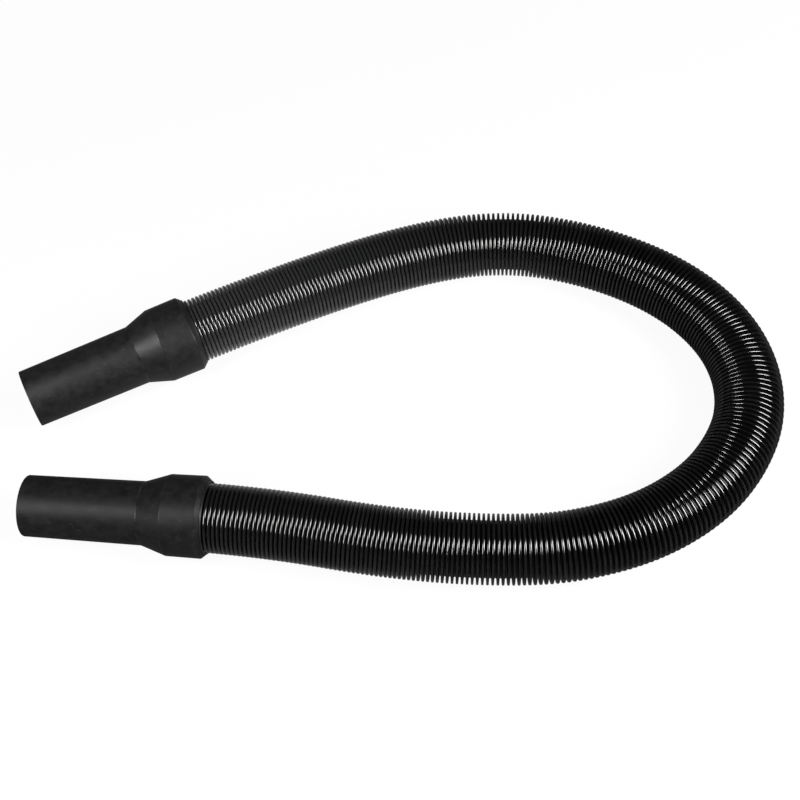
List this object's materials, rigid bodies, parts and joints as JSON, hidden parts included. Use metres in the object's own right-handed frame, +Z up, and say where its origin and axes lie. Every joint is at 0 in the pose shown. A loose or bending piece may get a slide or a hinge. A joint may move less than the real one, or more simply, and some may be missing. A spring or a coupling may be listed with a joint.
{
  "type": "vacuum cleaner hose",
  "caption": "Ribbed flexible vacuum cleaner hose lying in a U, with a tapered slip-fit rubber cuff swivelling on each end.",
  "frame": {"origin": "on the floor, under the middle of the whole hose's box as it lies in its U", "axes": "+X from the cuffs towards the bend of the U, its longest side; +Z up, square to the floor that it lies on; +Y from the wand's cuff towards the machine's cuff"},
  "size_m": [0.547, 0.3092, 0.0568],
  "materials": {
    "hose_vinyl": "glossy black flexible vinyl",
    "cuff_rubber": "satin black moulded rubber",
    "sleeve_plastic": "semi-matt black moulded plastic"
  },
  "bodies": {
    "hose": {"hose": "hose_vinyl", "machine_swivel_sleeve": "sleeve_plastic"},
    "machine_cuff": {"machine_cuff": "cuff_rubber"},
    "wand_sleeve": {"wand_swivel_sleeve": "sleeve_plastic"},
    "wand_cuff": {"wand_cuff": "cuff_rubber"}
  },
  "joints": [
    {"name": "machine_cuff_swivel", "type": "hinge", "parent": "hose", "child": "machine_cuff", "pos_m": [-0.14692, 0.07126, 0.0284], "axis": [-0.9333, -0.359, 0], "continuous": true},
    {"name": "hose_stretch", "type": "slide", "parent": "hose", "child": "wand_sleeve", "axis": [-0.984, 0.1781, 0], "range_m": [0, 0.35], "stiffness_N_per_m": 25, "deforming": ["hose"]},
    {"name": "wand_cuff_swivel", "type": "hinge", "parent": "wand_sleeve", "child": "wand_cuff", "pos_m": [-0.13661, -0.0851, 0.0284], "axis": [-0.984, 0.1781, 0], "continuous": true}
  ]
}
